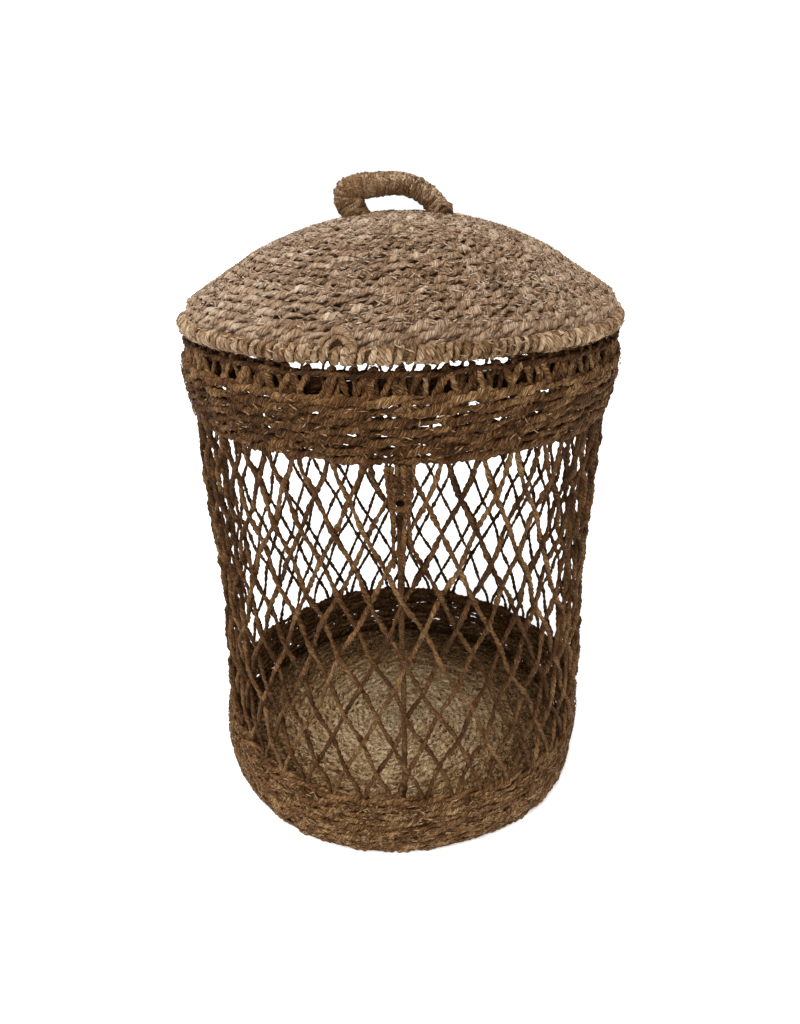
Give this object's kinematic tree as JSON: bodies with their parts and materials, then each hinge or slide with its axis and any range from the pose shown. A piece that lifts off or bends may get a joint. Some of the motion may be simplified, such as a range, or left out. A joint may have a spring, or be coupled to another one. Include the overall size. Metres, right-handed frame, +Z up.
{
  "type": "laundry basket",
  "caption": "Round woven seagrass laundry basket with an open diamond lattice wall, twined bands at foot and rim, and a domed lift-off lid with an arched handle.",
  "frame": {"origin": "centre of the foot, on the surface that the basket stands on", "axes": "+Z up along the basket's axis, -Y towards the front with the closure loop, +X to the right seen from the front"},
  "size_m": [0.404, 0.4038, 0.6],
  "materials": {
    "seagrass_body": "twisted seagrass cord, brown, matt with a slight straw sheen",
    "seagrass_lid": "twisted seagrass cord, light greyish tan, matt with a slight straw sheen",
    "seagrass_mat": "coarse twined seagrass, light straw, matt",
    "frame_wire": "drawn steel wire",
    "handle_cane": "bare cane"
  },
  "bodies": {
    "basket": {"floor_mat": "seagrass_mat", "floor_spokes": "seagrass_mat", "foot_hoop": "frame_wire", "lower_row_1": "seagrass_body", "lower_row_2": "seagrass_body", "lower_row_3": "seagrass_body", "lower_row_4": "seagrass_body", "lower_row_5": "seagrass_body", "lower_row_6": "seagrass_body", "lower_row_7": "seagrass_body", "lower_row_8": "seagrass_body", "lower_row_9": "seagrass_body", "lattice_cords_right": "seagrass_body", "lattice_cords_left": "seagrass_body", "front_upright": "seagrass_body", "right_upright": "seagrass_body", "back_upright": "seagrass_body", "left_upright": "seagrass_body", "upper_row_1": "seagrass_body", "upper_row_2": "seagrass_body", "upper_row_3": "seagrass_body", "upper_row_4": "seagrass_body", "upper_row_5": "seagrass_body", "upper_row_6": "seagrass_body", "upper_row_7": "seagrass_body", "rim_legs": "seagrass_body", "rim_hoop": "frame_wire", "rim_border": "seagrass_body", "front_lashing": "seagrass_body"},
    "lid": {"lid_hoop": "frame_wire", "lid_rim_wrap": "seagrass_lid", "lid_weave": "seagrass_lid", "lid_crown": "seagrass_lid", "lid_spokes": "seagrass_lid", "handle_core": "handle_cane", "handle_wrap": "seagrass_lid", "handle_lashing_left": "seagrass_lid", "handle_lashing_right": "seagrass_lid", "lid_loop": "seagrass_lid"}
  },
  "joints": [
    {"name": "lid_lift", "type": "slide", "parent": "basket", "child": "lid", "axis": [0, 0, 1], "range_m": [0, 0.35]}
  ]
}
